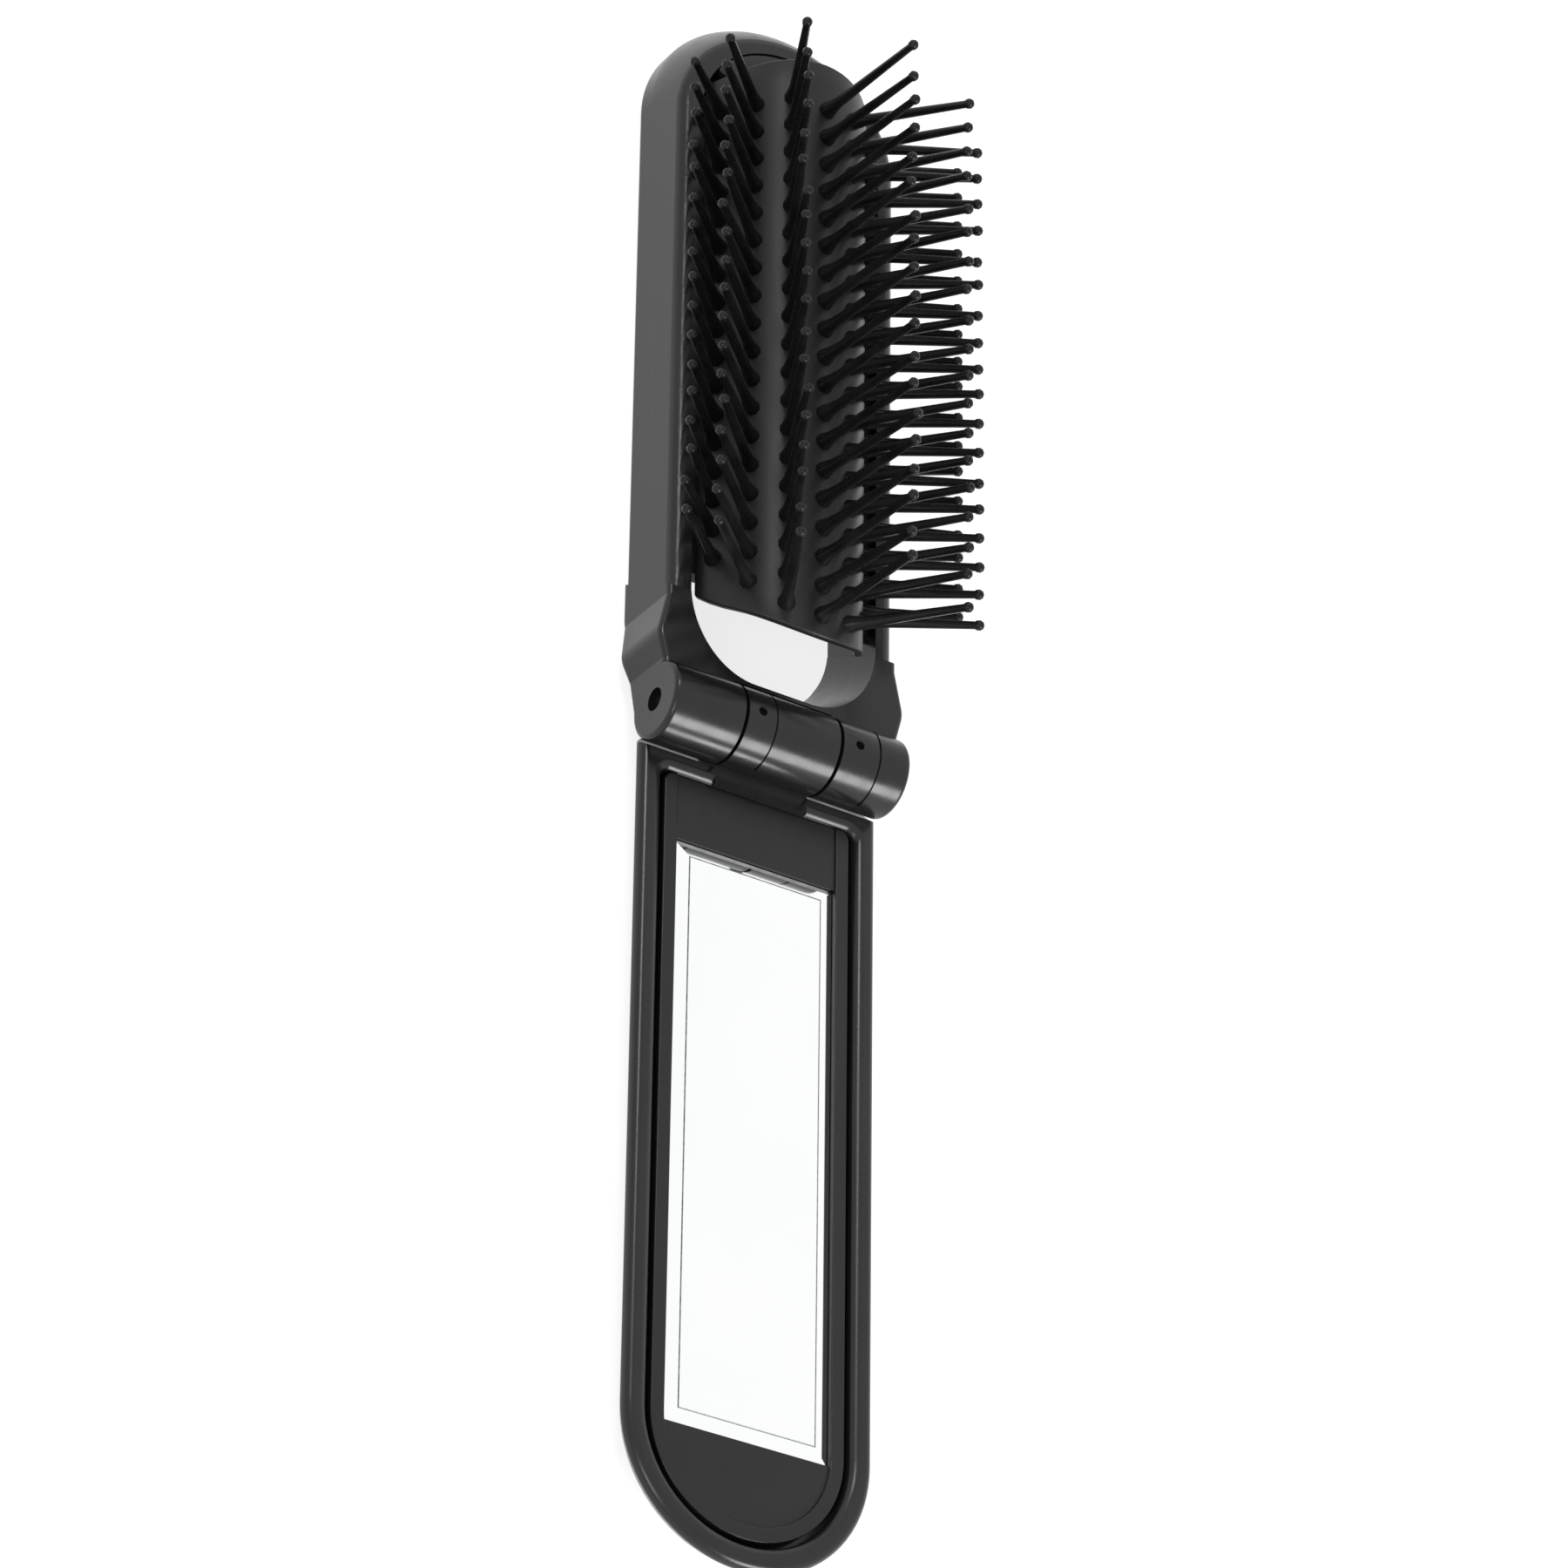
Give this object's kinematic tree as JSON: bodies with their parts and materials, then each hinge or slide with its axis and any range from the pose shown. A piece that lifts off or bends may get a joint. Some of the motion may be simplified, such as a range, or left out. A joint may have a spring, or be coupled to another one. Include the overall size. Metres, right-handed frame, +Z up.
{
  "type": "folding pocket hairbrush with mirror",
  "caption": "Folding pocket hairbrush: open hoop head with a bent pad of ball-tipped pins, hinged to a slim handle tray that holds a rectangular mirror.",
  "frame": {"origin": "centre of the bounding box's bottom, on the surface that the open brush lies on", "axes": "+Y along the brush towards its head, +X across, +Z up from the back towards the bristles"},
  "size_m": [0.0414, 0.216, 0.0381],
  "materials": {
    "black_gloss": "polished moulded black plastic",
    "black_insert": "satin black plastic",
    "black_matte": "matte black plastic",
    "bristle_plastic": "satin black flexible plastic",
    "steel": "drawn steel",
    "mirror": "silvered glass with a bevelled edge",
    "foam": "white foam tape"
  },
  "bodies": {
    "head": {"head_frame": "black_gloss", "hinge_yoke": "black_gloss", "pad_rail_left": "black_matte", "pad_rail_right": "black_matte", "hinge_pin": "steel", "click_ball": "steel", "click_spring": "steel", "bristle_row_1": "bristle_plastic", "bristle_row_2": "bristle_plastic", "bristle_row_3": "bristle_plastic", "bristle_row_4": "bristle_plastic", "bristle_row_5": "bristle_plastic", "bristle_row_6": "bristle_plastic", "bristle_row_7": "bristle_plastic"},
    "handle": {"handle_shell": "black_gloss", "mirror_frame": "black_insert", "mirror_glass": "mirror", "mirror_tape": "foam"}
  },
  "joints": [
    {"name": "handle_fold", "type": "hinge", "parent": "head", "child": "handle", "pos_m": [0, 0, 0.0085], "axis": [-1, 0, 0], "range_deg": [0, 180], "deforming": ["bristle_row_1", "bristle_row_2", "bristle_row_3", "bristle_row_4", "bristle_row_5", "bristle_row_6", "bristle_row_7"]}
  ]
}
